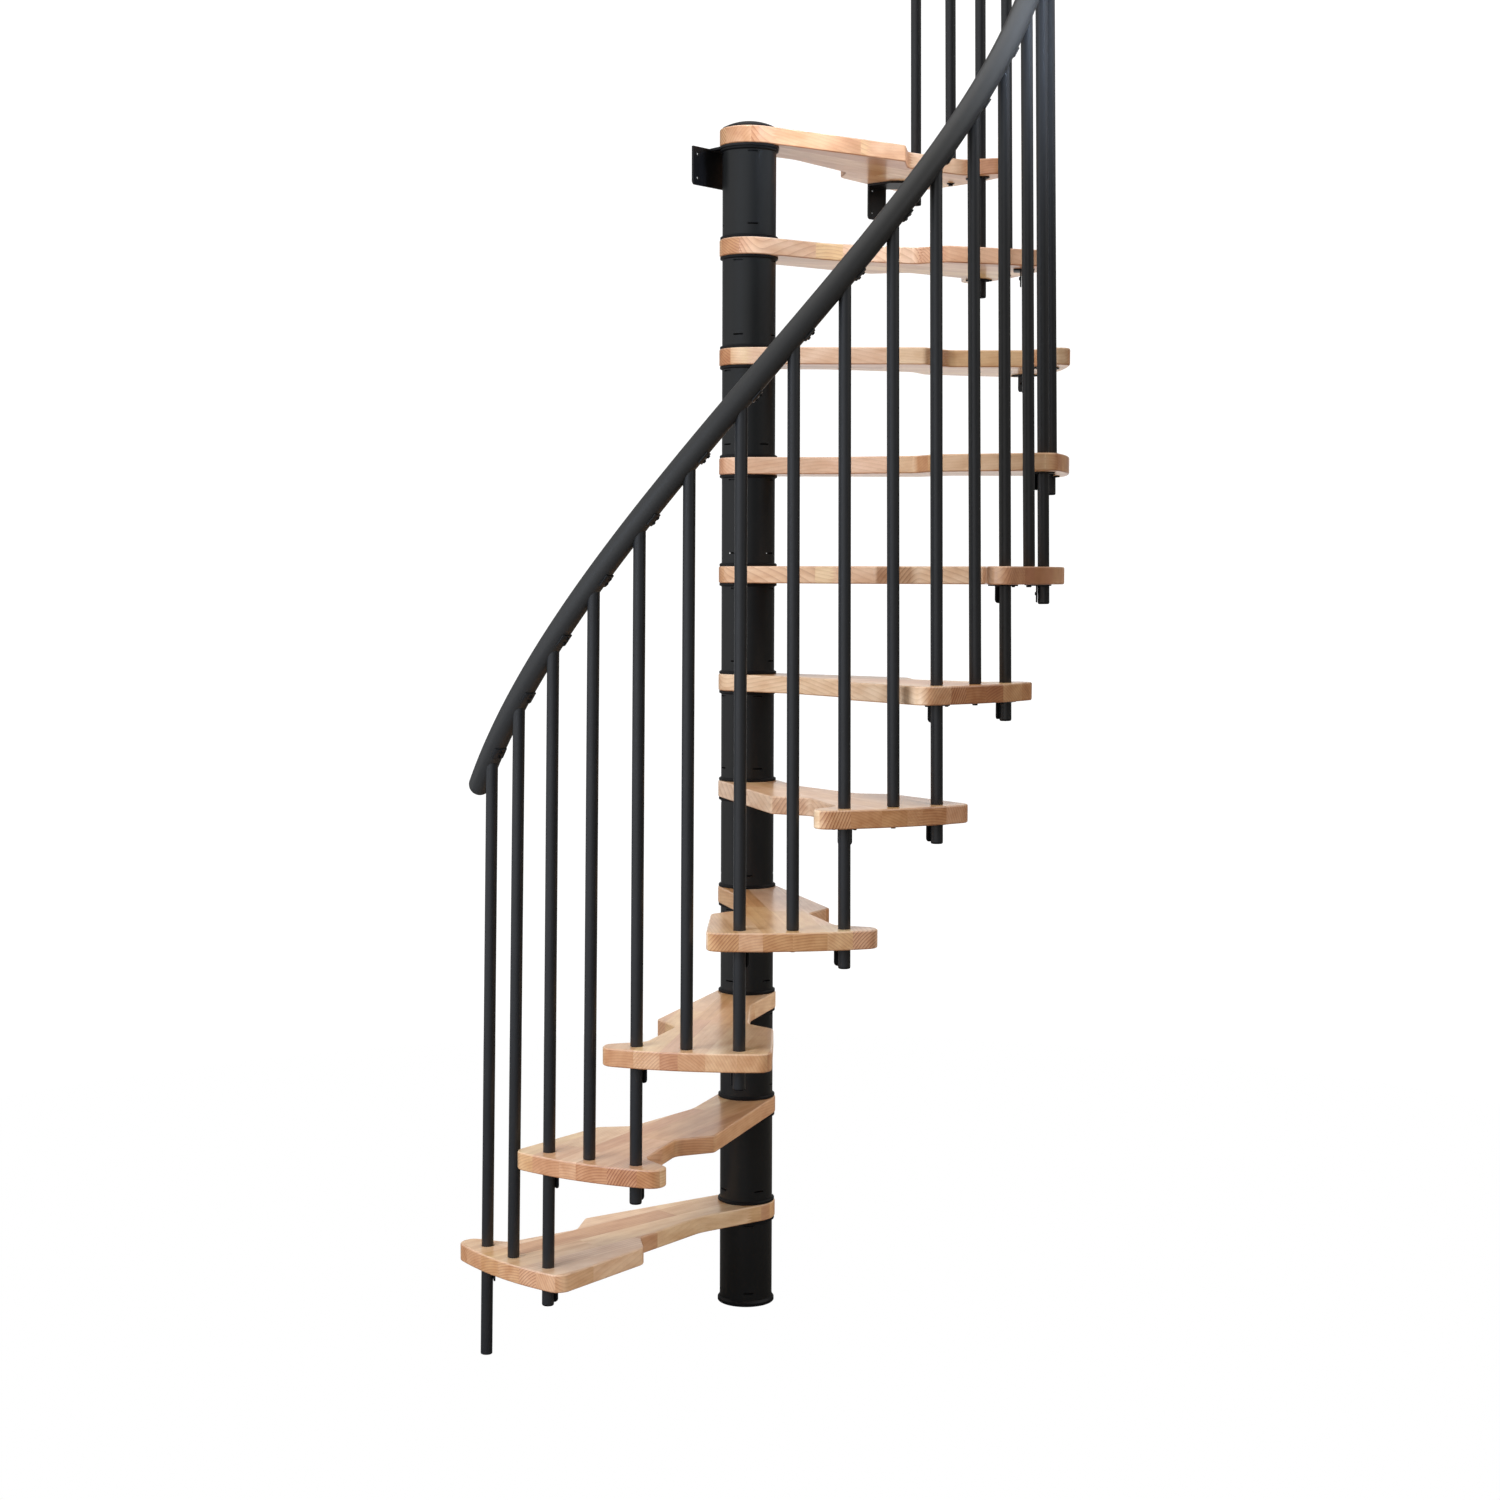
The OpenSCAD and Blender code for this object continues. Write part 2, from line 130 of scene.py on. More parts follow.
class TreadSettings(bpy.types.PropertyGroup):
    """Sizes and colours of the beech treads"""

    edge: length("Eased edge", "Rounding along the edges of a tread", 3.5)
    stave: length("Stave width", "Width of the staves that a tread is glued from", 55)
    piece: length("Stave piece", "Length of the pieces that are finger-jointed into a stave", 420)
    ring: length("Growth ring", "Spacing of the growth rings", 5.5)
    finger: length("Finger pitch", "Pitch of the fingers in a finger joint", 6)
    finger_length: length("Finger length", "Length of the fingers in a finger joint", 16)
    pale: colour("Pale beech", "The palest staves", "#ECD3B2")
    middling: colour("Middling beech", "Most staves", "#DFBD98")
    dark: colour("Dark beech", "The darkest, reddish staves", "#CA9C74")
    # Pale colour painted on the upper rounded edges as a highlight
    painted_edge_colour: colour("Painted edge highlight", "Pale colour painted on the upper edges as a highlight", "#FFF4E6")
    end_grain: colour("End grain", "Stain of the darker ends of the staves", "#DFCABA")


class BalusterSettings(bpy.types.PropertyGroup):
    """Sizes of the balusters"""

    ring: length("Foot circle", "Distance of a baluster's foot from the column's axis", 643)
    radius: length("Radius", "Outside radius of a baluster", 12)
    stub: length("Stub", "How far a tie baluster reaches below its lower tread", 40.5)
    foot_ease: length("Foot rounding", "Rounding of the foot of a baluster on its tread", 2)
    plug: length("Plug head", "Thickness of the plug's head in the end of a stub", 3.5)


class RailSettings(bpy.types.PropertyGroup):
    """Sizes of the handrail"""

    ring: length("Rail circle", "Distance of the rail's middle from the column's axis", 623)
    radius: length("Radius", "Radius of the handrail", 22.5)
    height: length("Height", "Height of the rail's middle at the first baluster", 1228)
    overhang: angle("Overhang", "Angle that the rail runs on past the end balusters", 5.3)
    saddle: length("Saddle thickness", "Thickness of the steel saddle under the rail", 3)


class FixingSettings(bpy.types.PropertyGroup):
    """Sizes of screws, bolts and sheet-metal edges"""

    sheet_edge: length("Sheet edge", "Rounding of the edges of cut and pressed sheet", 0.8)
    head_radius: length("Screw head", "Radius of a screw's head", 3.5)
    head_height: length("Screw head height", "Height of a screw's head", 2.4)
    clamp_screw_span: length("Clamp screws", "Distance of a clamp's screws from the baluster", 20)
    washer_radius: length("Washer", "Radius of the washer under a middle baluster", 9)


class FinishSettings(bpy.types.PropertyGroup):
    """Colours of the metal and plastic parts"""

    column: colour("Column", "Powder coat of the column tubes", "#181817")
    baluster: colour("Balusters", "Powder coat of the balusters", "#222222")
    bracket: colour("Brackets", "Powder coat of brackets, clamps and saddles", "#0F0F10")
    zinc: colour("Bolts", "Blackened zinc of screws and bolts", "#202021")
    nylon: colour("Nylon", "Black nylon of the rings, cap and plugs", "#0C0C0D")
    rail: colour("Handrail", "Black PVC of the handrail", "#2B2A28")


class StudioSettings(bpy.types.PropertyGroup):
    """The camera and the lights"""

    distance: length("Camera distance", "Distance of the camera from the column's axis", 5017.75)
    height: length("Camera height", "Height of the camera above the floor", 1584)
    yaw: angle("Yaw", "Turn of the camera to the right", 0.062)
    pitch: angle("Pitch", "Tilt of the camera upwards", -4.278)
    roll: angle("Roll", "Turn of the camera about its view", 0.197)
    lens: FloatProperty(name="Lens", description="Focal length on a 36 mm sensor",
                        default=55.95, min=1.0, unit="CAMERA")
    floor: length("Floor", "Radius of the studio floor", 3000)
    paper: colour("Paper", "White of the studio floor and background", "#FFFFFF")
    dusk: FloatProperty(name="Room", description="Brightness of the darker side of the room",
                        default=0.07, min=0.0)
    windows: FloatProperty(name="Windows", description="Brightness of the windows on the left",
                           default=0.85, min=0.0)
    wall: FloatProperty(name="Wall", description="Brightness of the wall behind the stairs",
                        default=1.0, min=0.0)
    window: FloatProperty(name="High window", description="Brightness of the window on the right",
                          default=1.2, min=0.0)
    overhead: FloatProperty(name="Overhead", description="Brightness of the soft box overhead",
                            default=1.2, min=0.0)
    key: FloatProperty(name="Main light", description="Power of the light from the left, in watts",
                       default=245.0, min=0.0)
    key_tint: colour("Main tint", "Colour of the light from the left", "#CEE1FF")
    fill: FloatProperty(name="Fill light", description="Power of the light from the right",
                        default=105.0, min=0.0)
    fill_tint: colour("Fill tint", "Colour of the light from the right", "#FFEEDC")
    above: FloatProperty(name="Light from above", description="Power of the light from above",
                         default=860.0, min=0.0)
    above_tint: colour("Tint from above", "Colour of the light from above", "#FFF1DC")
    upper: FloatProperty(name="Upper light", description="Power of the light on the top treads",
                         default=4.0, min=0.0)


GROUPS = {
    "stair_treads": TreadSettings,
    "stair_balusters": BalusterSettings,
    "stair_rail": RailSettings,
    "stair_fixings": FixingSettings,
    "stair_finish": FinishSettings,
    "stair_studio": StudioSettings,
}


# ---------------------------------------------------------------- places on the flight


def rail_height(scene, turn):
    """Height of the handrail's middle at a compass angle."""
    return scene.stair_rail.height + RISE * (turn - START) / STEP


def rail_slope(scene):
    """Slope of the handrail."""
    return math.atan(RISE / (scene.stair_rail.ring * STEP))


def foot_height(number):
    """Height of the tread or floor on which a baluster stands."""
    return tread_top(number // 2)


def baluster_rise(scene, number):
    """Height of the handrail's middle above a baluster's foot."""
    return rail_height(scene, baluster_heading(number)) - foot_height(number)


def baluster_lean(scene, number):
    """Lean of a baluster towards the column."""
    inwards = scene.stair_balusters.ring - scene.stair_rail.ring
    return math.atan(inwards / baluster_rise(scene, number))


def at_tread(number):
    """Place with X along a tread and Z up from its underside, on the column's axis."""
    underside = Matrix.Translation((0, 0, tread_top(number) - TREAD_THICK))
    return underside @ Matrix.Rotation(tread_heading(number), 4, "Z")


def at_baluster(scene, number):
    """Place with Z up a baluster from its foot and X away from the column."""
    turned = Matrix.Rotation(baluster_heading(number), 4, "Z")
    moved = Matrix.Translation((scene.stair_balusters.ring, 0, foot_height(number)))
    return turned @ moved @ Matrix.Rotation(-baluster_lean(scene, number), 4, "Y")


def at_rail(scene, turn):
    """Place with Z uphill along the handrail, Y down from it and X away from the column."""
    turned = Matrix.Rotation(turn, 4, "Z")
    moved = Matrix.Translation((scene.stair_rail.ring, 0, rail_height(scene, turn)))
    return turned @ moved @ Matrix.Rotation(rail_slope(scene) - math.pi / 2, 4, "X")


# ---------------------------------------------------------------- modelling helpers


def finish_piece(name, bm, material, replaced=(), sharp=35):
    """Makes a piece of a mesh, shades it, and lets it ride on the staircase."""
    mesh = bpy.data.meshes.new(name)
    bm.to_mesh(mesh)
    bm.free()
    mesh.shade_smooth()
    mesh.set_sharp_from_angle(angle=math.radians(sharp))
    mesh.materials.append(material)
    piece = bpy.data.objects.new(name, mesh)
    bpy.context.scene.collection.objects.link(piece)
    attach(piece, BODY)
    if replaced:
        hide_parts(*replaced)
    return piece


def flatten_faces(piece):
    """Keeps the shading of flat faces flat beside their rounded edges."""
    flatten = piece.modifiers.new("Flat faces", "WEIGHTED_NORMAL")
    flatten.keep_sharp = True
    flatten.weight = 100


def merged_copy(node):
    """A copy of a CAD node's mesh, with its loose triangles joined into whole faces."""
    bm = bmesh.new()
    bm.from_mesh(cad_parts[node].data)
    bmesh.ops.remove_doubles(bm, verts=bm.verts, dist=0.01 * MM)
    bmesh.ops.dissolve_limit(bm, angle_limit=math.radians(1), verts=bm.verts, edges=bm.edges,
                             use_dissolve_boundaries=False)
    return bm


def ease(bm, edges, width, segments, clamp=True):
    """Rounds edges by a given width, or by less where clamped edges are too short for it."""
    bmesh.ops.bevel(bm, geom=edges, affect="EDGES", offset=width, offset_type="OFFSET",
                    segments=segments, profile=0.5, material=-1, clamp_overlap=clamp)


def corners(bm, least):
    """Edges at which a mesh turns by more than an angle in degrees."""
    return [edge for edge in bm.edges if edge.calc_face_angle(0) > math.radians(least)]


def join(whole, part, place):
    """Adds a copy of a finished solid to a larger mesh, in its place."""
    copy = part.copy()
    copy.transform(place)
    mesh = bpy.data.meshes.new("joined")
    copy.to_mesh(mesh)
    copy.free()
    whole.from_mesh(mesh)
    bpy.data.meshes.remove(mesh)


def rod(low, high, radius, sides, low_ease=0.0, high_ease=0.0, segments=3):
    """A round bar along Z whose ends may be rounded."""
    bm = bmesh.new()
    bmesh.ops.create_cone(bm, cap_ends=True, segments=sides, radius1=radius, radius2=radius,
                          depth=high - low, matrix=Matrix.Translation((0, 0, (low + high) / 2)))
    for height, width in ((low, low_ease), (high, high_ease)):
        if width:
            rim = [edge for edge in bm.edges
                   if all(abs(v.co.z - height) < 0.01 * MM for v in edge.verts)]
            ease(bm, rim, width, segments)
    return bm


def screw_head(radius, height):
    """A round screw head on the plane Z = 0, with a socket in its face."""
    bm = rod(0, height, radius, 16, high_ease=0.35 * height, segments=2)
    face = max((f for f in bm.faces if len(f.verts) > 4), key=lambda f: f.calc_center_median().z)
    bmesh.ops.inset_region(bm, faces=[face], thickness=0.35 * radius)
    bmesh.ops.translate(bm, verts=face.verts, vec=(0, 0, -0.5 * height))
    return bm


# ---------------------------------------------------------------- material helpers

MIX_A, MIX_B, MIX_OUT = 6, 7, 2


def add(tree, kind, sockets=None, **settings):
    """Adds a shader node; a socket gets a value, an output, or the first output of a node."""
    made = tree.nodes.new("ShaderNode" + kind)
    for name, value in settings.items():
        setattr(made, name, value)
    for socket, value in (sockets or {}).items():
        if isinstance(value, bpy.types.Node):
            value = value.outputs[0]
        if isinstance(value, bpy.types.NodeSocket):
            tree.links.new(value, made.inputs[socket])
        else:
            made.inputs[socket].default_value = value
    return made


def new_material(name):
    """A material with its node tree and its surface shader."""
    material = bpy.data.materials.new(name)
    material.use_nodes = True
    return material, material.node_tree, material.node_tree.nodes["Principled BSDF"]


def coat_cad(node, material):
    """Gives a CAD node its finish."""
    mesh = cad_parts[node].data
    if not mesh.materials:
        mesh.materials.append(material)
    for n in range(len(mesh.materials)):
        mesh.materials[n] = material


def powder_coat(name, base, roughness, gloss=0.35):
    """Powder-coated steel: polyester powder baked to a fine, half-matt, slightly pebbled skin.

    The pebbles are about 0.4 mm across and are drawn at 1.2 mm, so that they show; the
    coat's thickness also varies slowly along a tube, which moves its sheen a little.
    """
    material, tree, shader = new_material(name)
    place = add(tree, "TexCoord").outputs["Object"]
    pebbles = add(tree, "TexNoise", {"Vector": place, "Scale": 1 / (1.2 * MM), "Detail": 2.0})
    drift = add(tree, "TexNoise", {"Vector": place, "Scale": 1 / (90 * MM), "Detail": 3.0})
    tone = add(tree, "Mix", {0: drift.outputs["Fac"], MIX_A: (*[0.86 * c for c in base], 1),
                             MIX_B: (*[1.14 * c for c in base], 1)}, data_type="RGBA")
    sheen = add(tree, "MapRange", {"Value": drift.outputs["Fac"], "To Min": roughness - 0.04,
                                   "To Max": roughness + 0.04})
    skin = add(tree, "Bump", {"Height": pebbles.outputs["Fac"], "Strength": 0.1,
                              "Distance": 0.15 * MM})
    tree.links.new(tone.outputs[MIX_OUT], shader.inputs["Base Color"])
    tree.links.new(sheen.outputs["Result"], shader.inputs["Roughness"])
    tree.links.new(skin.outputs["Normal"], shader.inputs["Normal"])
    shader.inputs["IOR"].default_value = 1.5
    shader.inputs["Specular IOR Level"].default_value = gloss
    return material


def moulded_plastic(name, base, roughness, gloss=0.35):
    """Moulded or extruded plastic, such as nylon 6 or PVC, from a finely eroded tool.

    The skin has an even, low sheen with grain of about 0.3 mm, drawn at 0.9 mm.
    """
    material, tree, shader = new_material(name)
    place = add(tree, "TexCoord").outputs["Object"]
    grain = add(tree, "TexNoise", {"Vector": place, "Scale": 1 / (0.9 * MM), "Detail": 1.0})
    handled = add(tree, "TexNoise", {"Vector": place, "Scale": 1 / (60 * MM), "Detail": 4.0})
    sheen = add(tree, "MapRange", {"Value": handled.outputs["Fac"], "To Min": roughness - 0.05,
                                   "To Max": roughness + 0.05})
    skin = add(tree, "Bump", {"Height": grain.outputs["Fac"], "Strength": 0.08,
                              "Distance": 0.1 * MM})
    shader.inputs["Base Color"].default_value = (*base, 1)
    tree.links.new(sheen.outputs["Result"], shader.inputs["Roughness"])
    tree.links.new(skin.outputs["Normal"], shader.inputs["Normal"])
    shader.inputs["IOR"].default_value = 1.53
    shader.inputs["Specular IOR Level"].default_value = gloss
    return material


def black_zinc(name, base):
    """Blackened zinc plating on rolled screws: dark metal with a soft, uneven sheen."""
    material, tree, shader = new_material(name)
    place = add(tree, "TexCoord").outputs["Object"]
    blotches = add(tree, "TexNoise", {"Vector": place, "Scale": 1 / (3 * MM), "Detail": 2.0})
    sheen = add(tree, "MapRange", {"Value": blotches.outputs["Fac"], "To Min": 0.3, "To Max": 0.5})
    shader.inputs["Base Color"].default_value = (*base, 1)
    shader.inputs["Metallic"].default_value = 0.8
    tree.links.new(sheen.outputs["Result"], shader.inputs["Roughness"])
    return material


def beech(settings, number):
    """European beech, edge-glued from finger-jointed staves and lacquered to a satin sheen.

    Staves differ in tone and lie side by side across the tread, with growth rings that
    show as fine lines and arcs on the end grain and as long soft streaks on the faces. The
    rings are 2 to 4 mm apart and are drawn at 5.5 mm, so that they show. The pores and the
    short brown rays are finer than a millimetre and are drawn twice as coarse.
    """
    material, tree, shader = new_material(f"beech_satin_lacquer_{number:02d}")
    axis = tread_heading(number)
    whole = add(tree, "TexCoord")
    # Millimetres along the tread (X), across it (Y) and up from its middle (Z)
    middle = tread_top(number) - TREAD_THICK / 2
    local = add(tree, "Mapping", {
        "Vector": whole.outputs["Object"], "Scale": (1 / MM,) * 3, "Rotation": (0, 0, -axis),
        "Location": (0, 0, -middle / MM)})
    along, across, up = add(tree, "SeparateXYZ", {0: local}).outputs[:3]

    # Staves of uneven width: each seam is moved by up to a quarter of a stave
    place = add(tree, "Math", {0: across, 1: settings.stave / MM}, operation="DIVIDE")
    seam = add(tree, "Math", {0: place}, operation="ROUND")
    seam_draw = add(tree, "TexWhiteNoise", {
        "W": add(tree, "Math", {0: seam, 1: 53.0 * number}, operation="ADD")},
        noise_dimensions="1D")
    shift = add(tree, "Math", {0: seam_draw, 1: 0.5, 2: -0.25}, operation="MULTIPLY_ADD")
    stave = add(tree, "Math", {
        0: add(tree, "Math", {0: place, 1: shift}, operation="SUBTRACT")}, operation="FLOOR")
    # Pieces of a stave, between finger joints
    stave_draw = add(tree, "TexWhiteNoise", {
        "W": add(tree, "Math", {0: stave, 1: 37.0 * number}, operation="ADD")},
        noise_dimensions="1D")
    fingers = add(tree, "Math", {0: up, 1: settings.finger / MM / 2}, operation="PINGPONG")
    cut = add(tree, "Math", {0: fingers, 1: 2 * settings.finger_length / settings.finger,
                             2: along}, operation="MULTIPLY_ADD")
    cut = add(tree, "Math", {0: stave_draw, 1: settings.piece / MM, 2: cut},
              operation="MULTIPLY_ADD")
    piece = add(tree, "Math", {
        0: add(tree, "Math", {0: cut, 1: settings.piece / MM}, operation="DIVIDE")},
        operation="FLOOR")
    which = add(tree, "CombineXYZ", {0: stave, 1: piece, 2: float(number)})
    draw = add(tree, "TexWhiteNoise", {"Vector": which}, noise_dimensions="3D")
    draws = add(tree, "SeparateColor", {0: draw.outputs["Color"]})

    # Tone of each piece
    tone = add(tree, "ValToRGB", {"Fac": draw})
    stops = tone.color_ramp.elements
    stops[0].position, stops[0].color = 0.0, (*settings.pale, 1)
    stops[1].position, stops[1].color = 1.0, (*settings.dark, 1)
    stop = stops.new(0.5)
    stop.color = (*settings.middling, 1)
    # Some pieces lean to ochre and some to pink
    hue = add(tree, "Mix", {0: draws.outputs[2], MIX_A: (1.0, 1.0, 0.84, 1),
                            MIX_B: (1.0, 0.95, 0.98, 1)}, data_type="RGBA")
    tone = add(tree, "Mix", {0: 1.0, MIX_A: tone.outputs["Color"], MIX_B: hue.outputs[MIX_OUT]},
               data_type="RGBA", blend_type="MULTIPLY")

    # Growth rings about a heart that lies beside the stave, somewhere else for each piece
    heart = add(tree, "VectorMath", {0: draw.outputs["Color"], 1: (900.0, 420.0, 160.0),
                                     2: (0.0, -210.0, -220.0)}, operation="MULTIPLY_ADD")
    timber = add(tree, "VectorMath", {0: local, 1: heart}, operation="SUBTRACT")
    # A wave texture of scale 1 has a ring every tau / 20 of its units, here millimetres
    rings = add(tree, "TexWave", {
        "Vector": add(tree, "Mapping", {"Vector": timber, "Scale": (0.02, 1.0, 1.0)}),
        "Scale": math.tau / 20 / (settings.ring / MM), "Distortion": 3.0, "Detail": 2.0,
        "Detail Scale": 0.2, "Detail Roughness": 0.5},
        wave_type="RINGS", rings_direction="X", wave_profile="SAW")
    late_wood = add(tree, "Math", {0: rings.outputs["Fac"], 1: 3.0}, operation="POWER")
    boldness = add(tree, "Math", {0: draws.outputs[1], 1: 2.0}, operation="POWER")
    boldness = add(tree, "Math", {0: boldness, 1: 0.8, 2: 0.28}, operation="MULTIPLY_ADD")

    # End grain drinks the lacquer, so it is darker and redder than the faces
    facing = add(tree, "VectorMath", {
        0: whole.outputs["Normal"], 1: (math.cos(axis), math.sin(axis), 0.0)},
        operation="DOT_PRODUCT")
    facing = add(tree, "Math", {0: facing.outputs["Value"]}, operation="ABSOLUTE")
    end_grain = add(tree, "MapRange", {"Value": facing, "From Min": 0.3, "From Max": 0.8})

    # Painted highlight: the upper rounded edges are mixed towards a pale colour; painted shade: the
    # lower rounded edges are darkened
    slope = add(tree, "SeparateXYZ", {0: whole.outputs["Normal"]}).outputs[2]
    painted_highlight_mask = add(tree, "MapRange", {"Value": slope, "From Min": 0.1, "From Max": 0.5})
    flat = add(tree, "MapRange", {"Value": slope, "From Min": 0.99, "From Max": 0.93})
    painted_highlight_mask = add(tree, "Math", {0: painted_highlight_mask, 1: flat}, operation="MULTIPLY")
    # Painted shade: downward-facing rounded edges are marked for darkening
    painted_shade_mask = add(tree, "MapRange", {"Value": slope, "From Min": -0.2, "From Max": -0.7})
    flat = add(tree, "MapRange", {"Value": slope, "From Min": -0.99, "From Max": -0.93})
    painted_shade_mask = add(tree, "Math", {0: painted_shade_mask, 1: flat}, operation="MULTIPLY")

    # Long pores, soft streaks, and the short dark rays that mark beech
    pores = add(tree, "TexNoise", {
        "Vector": add(tree, "Mapping", {"Vector": timber, "Scale": (0.03, 0.9, 0.9)}),
        "Scale": 1.0, "Detail": 3.0})
    streaks = add(tree, "TexNoise", {
        "Vector": add(tree, "Mapping", {"Vector": timber, "Scale": (0.013, 0.045, 0.045)}),
        "Scale": 1.0, "Detail": 3.0})
    streaks = add(tree, "MapRange", {"Value": streaks, "From Min": 0.35, "From Max": 0.7})
    flecks = add(tree, "TexNoise", {
        "Vector": add(tree, "Mapping", {"Vector": timber, "Scale": (0.16, 1.1, 1.1)}),
        "Scale": 1.0, "Detail": 1.0})
    rays = add(tree, "MapRange", {"Value": flecks, "From Min": 0.66, "From Max": 0.76})

    ring_depth = add(tree, "MapRange", {"Value": end_grain, "To Min": 0.4, "To Max": 1.0})
    ring_depth = add(tree, "Math", {0: ring_depth, 1: boldness}, operation="MULTIPLY")
    shade = tone.outputs[MIX_OUT]
    for amount, strength, dye in (
            (late_wood, ring_depth, linear("#A36F45")), (streaks, 0.5, linear("#D0AD88")),
            (pores, 0.2, linear("#C8A27C")), (rays, 0.22, linear("#8A5A38")),
            # The last entry paints shade on the lower rounded edges in a darker brown
            (end_grain, 1.0, settings.end_grain), (painted_shade_mask, 0.6, linear("#B07F58"))):
        amount = add(tree, "Math", {0: amount, 1: strength}, operation="MULTIPLY")
        shade = add(tree, "Mix", {0: amount, MIX_A: shade, MIX_B: (*dye, 1)}, data_type="RGBA",
                    blend_type="MULTIPLY").outputs[MIX_OUT]
    # Painted highlight: the upper rounded edges are mixed a little towards the pale highlight
    # colour
    painted_highlight_mask = add(tree, "Math", {0: painted_highlight_mask, 1: 0.12}, operation="MULTIPLY")
    shade = add(tree, "Mix", {0: painted_highlight_mask, MIX_A: shade, MIX_B: (*settings.painted_edge_colour, 1)},
                data_type="RGBA").outputs[MIX_OUT]
    tree.links.new(shade, shader.inputs["Base Color"])

    sheen = add(tree, "MapRange", {"Value": pores, "To Min": 0.3, "To Max": 0.42})
    tree.links.new(sheen.outputs[0], shader.inputs["Roughness"])
    skin = add(tree, "Bump", {"Height": pores, "Strength": 0.08, "Distance": 0.2 * MM})
    tree.links.new(skin.outputs["Normal"], shader.inputs["Normal"])
    shader.inputs["IOR"].default_value = 1.5
    shader.inputs["Coat Weight"].default_value = 0.3
    shader.inputs["Coat Roughness"].default_value = 0.2
    return material


FINISHES = {}


def finish(name):
    """One of the shared finishes, made when it is first asked for."""
    colours = bpy.context.scene.stair_finish
    makers = {
        "column": lambda: powder_coat("powder_coated_steel_column", colours.column,
                                      roughness=0.32, gloss=0.28),
        "baluster": lambda: powder_coat("powder_coated_steel_baluster", colours.baluster,
                                        roughness=0.36),
        "bracket": lambda: powder_coat("powder_coated_sheet_steel", colours.bracket,
                                       roughness=0.45),
        "bolt": lambda: black_zinc("black_zinc_plated_bolt", colours.zinc),
        "nylon": lambda: moulded_plastic("moulded_black_nylon", colours.nylon,
                                         roughness=0.5, gloss=0.2),
        "rail": lambda: moulded_plastic("extruded_black_pvc", colours.rail,
                                        roughness=0.4, gloss=0.3),
    }
    if name not in FINISHES:
        FINISHES[name] = makers[name]()
    return FINISHES[name]


# ---------------------------------------------------------------- pieces


class STAIR_OT_treads(bpy.types.Operator):
    """Round the edges of the beech treads and give them their grain"""

    bl_idname = "stair.treads"
    bl_label = "Treads"

    def execute(self, context):
        scene = context.scene
        settings = scene.stair_treads
        reach = scene.stair_balusters.radius + 2 * MM
        for number in range(1, TREADS + 1):
            bm = merged_copy(f"tread_{number:02d}")
            holes = [at_baluster(scene, n).translation.xy for n in (2 * number - 1, 2 * number + 1)]
            rim = [edge for edge in corners(bm, 60)
                   if all((edge.verts[0].co.xy - hole).length > reach for hole in holes)]
            ease(bm, rim, settings.edge, 4, clamp=False)
            piece = finish_piece(f"beech_tread_{number:02d}", bm, beech(settings, number),
                                 [f"tread_{number:02d}"])
            flatten_faces(piece)
        return {"FINISHED"}


class STAIR_OT_column(bpy.types.Operator):
    """Coat the column's tubes, and give its plastic rings, foot and cap their finish"""

    bl_idname = "stair.column"
    bl_label = "Column"

    def execute(self, context):
        for number in range(1, TREADS + 1):
            coat_cad(f"column_tube_{number:02d}", finish("column"))
        for node in ("column_rings", "base_plate", "column_cap"):
            coat_cad(node, finish("nylon"))
        return {"FINISHED"}


class STAIR_OT_balusters(bpy.types.Operator):
    """Make the steel balusters, rounded at the foot"""

    bl_idname = "stair.balusters"
    bl_label = "Balusters"

    def baluster(self, scene, number):
        """One baluster along Z from its foot, with its top hidden in the handrail."""
        settings = scene.stair_balusters
        tie = number % 2 == 1 and number > 1
        low = settings.plug - TREAD_THICK - settings.stub if tie else 0.0
        high = baluster_rise(scene, number) / math.cos(baluster_lean(scene, number))
        return rod(low, high, settings.radius, 32, 0.5 * MM if tie else settings.foot_ease)

    def execute(self, context):
        scene = context.scene
        middle = bmesh.new()
        for number in range(1, BALUSTERS + 1):
            tube = self.baluster(scene, number)
            if number % 2:
                tube.transform(at_baluster(scene, number))
                order = (number + 1) // 2
                finish_piece(f"tie_tube_{order:02d}", tube, finish("baluster"),
                             [f"tie_baluster_{order:02d}"])
            else:
                join(middle, tube, at_baluster(scene, number))
                tube.free()
        finish_piece("middle_tubes", middle, finish("baluster"),
                     ["mid_balusters"])
        return {"FINISHED"}


class STAIR_OT_plugs(bpy.types.Operator):
    """Close the lower ends of the tie balusters with rounded nylon plugs"""

    bl_idname = "stair.plugs"
    bl_label = "Baluster plugs"

    def execute(self, context):
        scene = context.scene
        settings = scene.stair_balusters
        end = -TREAD_THICK - settings.stub
        head = rod(end, end + settings.plug, settings.radius - 0.15 * MM, 32, 2.8 * MM)
        plugs = bmesh.new()
        for number in range(3, BALUSTERS + 1, 2):
            join(plugs, head, at_baluster(scene, number))
        head.free()
        finish_piece("baluster_plugs", plugs, finish("nylon"))
        return {"FINISHED"}


